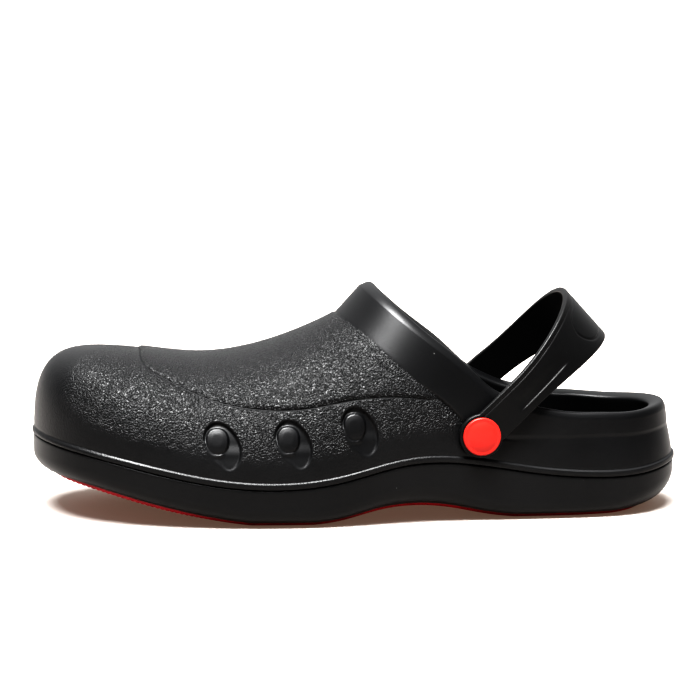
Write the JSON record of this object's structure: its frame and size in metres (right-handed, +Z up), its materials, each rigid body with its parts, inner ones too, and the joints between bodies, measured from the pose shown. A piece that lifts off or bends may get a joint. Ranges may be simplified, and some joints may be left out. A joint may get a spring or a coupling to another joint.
{
  "type": "work clog",
  "caption": "Slip-on moulded work clog for the left foot, with a flared collar, blind side vents, a riveted heel strap and a lugged tread plate.",
  "frame": {"origin": "on the floor under the middle of the shoe's bounding box", "axes": "+X from the toe to the heel, +Y to the medial side, +Z up"},
  "size_m": [0.289, 0.1123, 0.0996],
  "materials": {
    "foam": "matte closed-cell foam with a fine leather grain on the vamp and a smooth band and sole wall",
    "tread": "matte rubber",
    "lining": "matte textile over foam",
    "strap": "satin moulded foam",
    "cap": "glossy moulded plastic",
    "back": "satin moulded plastic"
  },
  "bodies": {
    "root": {"upper": "foam", "midsole": "foam", "outsole": "tread", "insole": "lining", "strap": "strap", "rivet_cap_lateral": "cap", "rivet_back_lateral": "back", "rivet_cap_medial": "cap", "rivet_back_medial": "back"}
  },
  "joints": []
}
